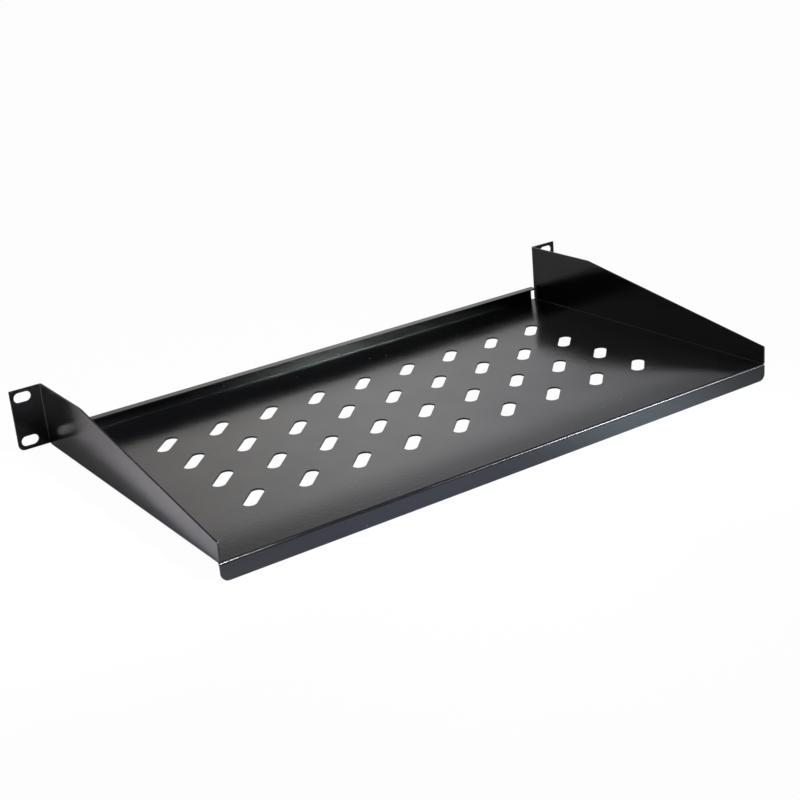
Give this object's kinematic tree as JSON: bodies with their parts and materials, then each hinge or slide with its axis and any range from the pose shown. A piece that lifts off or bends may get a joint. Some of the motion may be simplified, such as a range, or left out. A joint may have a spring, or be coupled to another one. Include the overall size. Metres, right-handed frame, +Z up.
{
  "type": "rack shelf",
  "caption": "Cantilever rack shelf folded from one steel sheet, with slotted ears, tapering side walls, a vented base and folded front and rear lips.",
  "frame": {"origin": "middle of the four ear slots, on the ears' rear face, which meets the rack's front posts", "axes": "+X across the rack, +Y into the rack from the front posts towards the shelf's free rear end, +Z up"},
  "size_m": [0.4826, 0.2512, 0.0562],
  "materials": {
    "black_paint": "semi-gloss black baked paint on folded steel sheet"
  },
  "bodies": {
    "root": {"shelf": "black_paint"}
  },
  "joints": []
}
